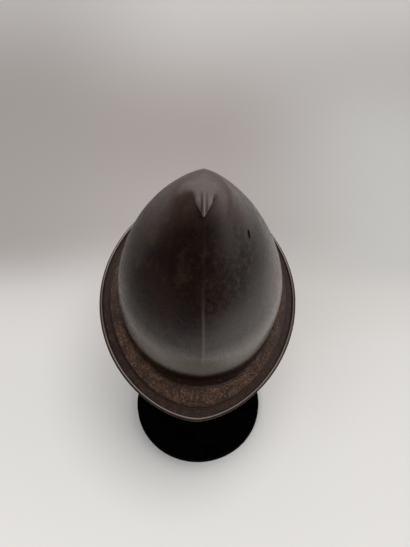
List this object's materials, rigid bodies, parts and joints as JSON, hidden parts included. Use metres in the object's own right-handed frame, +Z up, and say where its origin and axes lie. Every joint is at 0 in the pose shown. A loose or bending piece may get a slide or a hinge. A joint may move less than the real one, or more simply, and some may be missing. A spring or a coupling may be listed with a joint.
{
  "type": "cabasset on a display stand",
  "caption": "Open steel helmet with an almond-shaped keeled crown, a bent stalk and a turned brim, on a velvet-covered stand.",
  "frame": {"origin": "centre of the stand base's underside", "axes": "+Y to the helmet's front, +X to the wearer's right, +Z up; the stalk points to the rear, -Y"},
  "size_m": [0.235, 0.319, 0.5223],
  "materials": {
    "helmet_steel": "russet-brown patina on hammered steel, pitted rust at the brim",
    "stand_velvet": "black velvet"
  },
  "bodies": {
    "root": {"skull_and_brim": "helmet_steel", "stand_base": "stand_velvet", "stand_post": "stand_velvet"}
  },
  "joints": []
}
